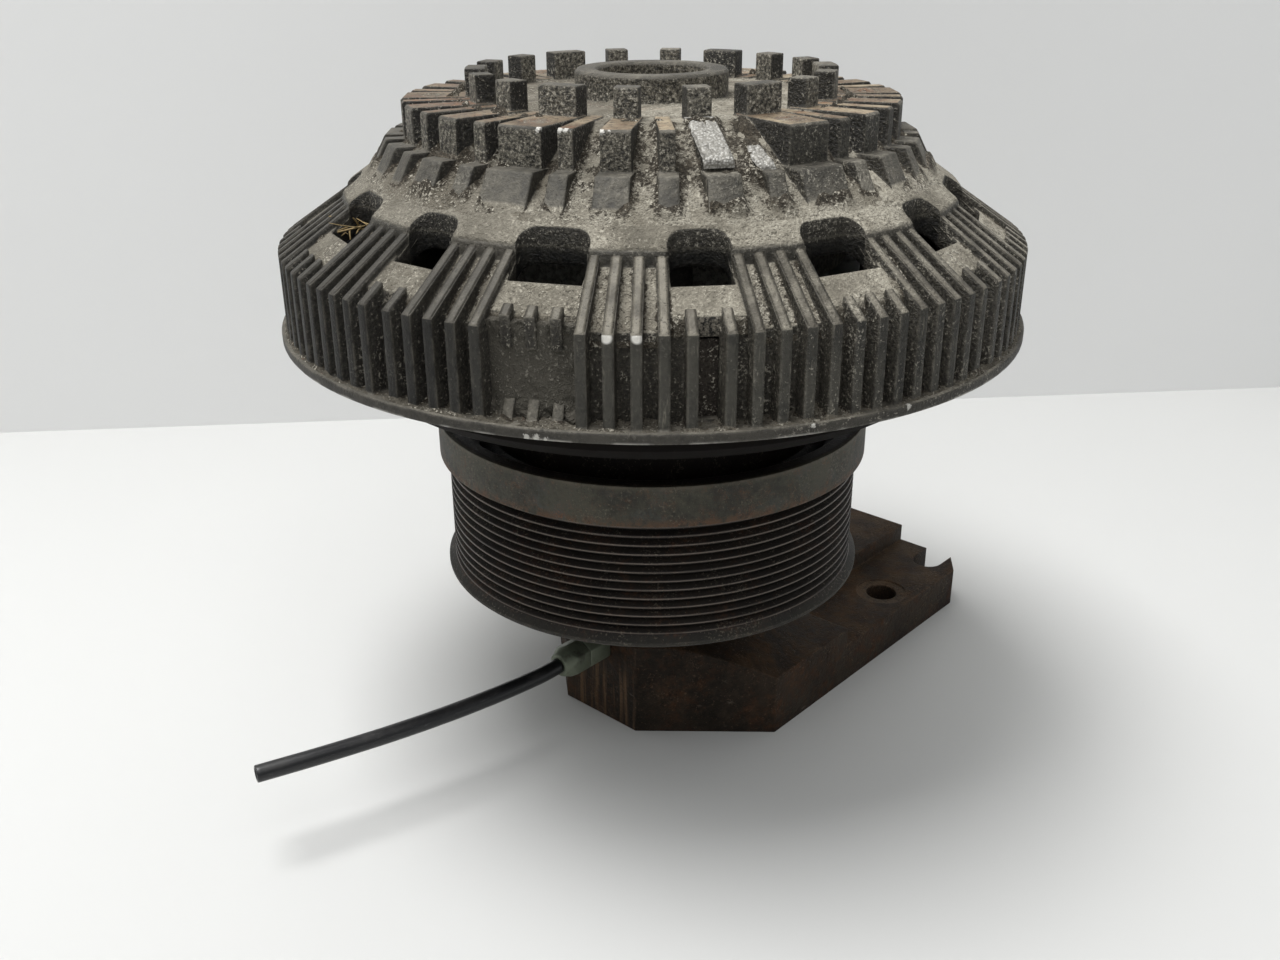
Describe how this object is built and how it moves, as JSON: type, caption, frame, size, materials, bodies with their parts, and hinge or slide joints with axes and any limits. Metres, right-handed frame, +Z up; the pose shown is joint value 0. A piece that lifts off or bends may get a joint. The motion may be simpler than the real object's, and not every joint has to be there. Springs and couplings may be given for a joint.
{
  "type": "air-operated fan clutch",
  "caption": "Finned fan clutch with a poly-V belt pulley on a journal bracket: air pressure pushes a spring-returned friction piston that couples the fan housing to the pulley.",
  "frame": {"origin": "on the shaft axis, at the underside of the mounting bracket", "axes": "+Z up the shaft towards the fan side, +X along the bracket from its nose to its slotted end"},
  "size_m": [0.3421, 0.2792, 0.2622],
  "materials": {
    "housing_aluminium": "weathered sand-cast aluminium, dusty",
    "pulley_iron": "worn dark iron with polished groove crests",
    "bracket_iron": "brown rusty cast iron",
    "machined_steel": "machined",
    "bearing_steel": "ground",
    "cage_brass": "satin",
    "rotor_iron": "dark iron",
    "magnet": "grey coat",
    "eddy_iron": "rusty iron",
    "fitting_metal": "dull grey-green plated brass",
    "black_nylon": "smooth black nylon",
    "seal_rubber": "matte",
    "cap_steel": "dusty pressed steel",
    "spring_steel": "oiled",
    "piston_aluminium": "machined",
    "friction_lining": "pressed friction material"
  },
  "bodies": {
    "bracket": {"mounting_bracket": "bracket_iron", "spindle": "machined_steel", "air_fitting_body": "fitting_metal", "air_fitting_nut": "fitting_metal", "air_tube": "black_nylon", "rear_inner_race": "bearing_steel", "front_inner_race": "bearing_steel", "race_spacer": "machined_steel", "lock_washer": "machined_steel", "spindle_nut": "machined_steel", "fan_inner_race": "bearing_steel", "fan_bearing_nut": "machined_steel"},
    "pulley_unit": {"pulley": "pulley_iron", "rear_outer_race": "bearing_steel", "front_outer_race": "bearing_steel", "pulley_snap_ring": "machined_steel", "rear_grease_seal": "seal_rubber", "front_grease_shield": "machined_steel", "magnet_rotor": "rotor_iron", "rotor_magnets": "magnet", "rotor_screws": "machined_steel"},
    "fan_hub": {"fan_housing": "housing_aluminium", "eddy_ring": "eddy_iron", "fan_outer_race": "bearing_steel", "fan_snap_ring": "machined_steel", "hub_seal": "seal_rubber", "dust_cap": "cap_steel", "guide_pins": "machined_steel", "return_springs": "spring_steel"},
    "piston_unit": {"piston": "piston_aluminium", "friction_lining": "friction_lining", "piston_outer_seal": "seal_rubber", "piston_inner_seal": "seal_rubber"},
    "rear_ball_set": {"rear_balls": "bearing_steel", "rear_ball_cage": "cage_brass"},
    "front_ball_set": {"front_balls": "bearing_steel", "front_ball_cage": "cage_brass"},
    "fan_ball_set": {"fan_balls": "bearing_steel", "fan_ball_cage": "cage_brass"}
  },
  "joints": [
    {"name": "pulley_spin", "type": "hinge", "parent": "bracket", "child": "pulley_unit", "pos_m": [0, 0, 0.1], "axis": [0, 0, 1], "continuous": true},
    {"name": "fan_spin", "type": "hinge", "parent": "bracket", "child": "fan_hub", "pos_m": [0, 0, 0.21], "axis": [0, 0, 1], "continuous": true},
    {"name": "piston_slide", "type": "slide", "parent": "fan_hub", "child": "piston_unit", "axis": [0, 0, -1], "range_m": [0, 0.0022], "stiffness_N_per_m": 40000, "springref_m": -0.004, "deforming": ["return_springs"]},
    {"name": "rear_balls_orbit", "type": "hinge", "parent": "bracket", "child": "rear_ball_set", "pos_m": [0, 0, 0.091], "axis": [0, 0, 1], "continuous": true},
    {"name": "front_balls_orbit", "type": "hinge", "parent": "bracket", "child": "front_ball_set", "pos_m": [0, 0, 0.123], "axis": [0, 0, 1], "continuous": true},
    {"name": "fan_balls_orbit", "type": "hinge", "parent": "bracket", "child": "fan_ball_set", "pos_m": [0, 0, 0.213], "axis": [0, 0, 1], "continuous": true}
  ],
  "couplings": [
    {"joint": "rear_balls_orbit", "follows": "pulley_spin", "ratio": 0.5992},
    {"joint": "front_balls_orbit", "follows": "pulley_spin", "ratio": 0.5992},
    {"joint": "fan_balls_orbit", "follows": "fan_spin", "ratio": 0.5978}
  ]
}
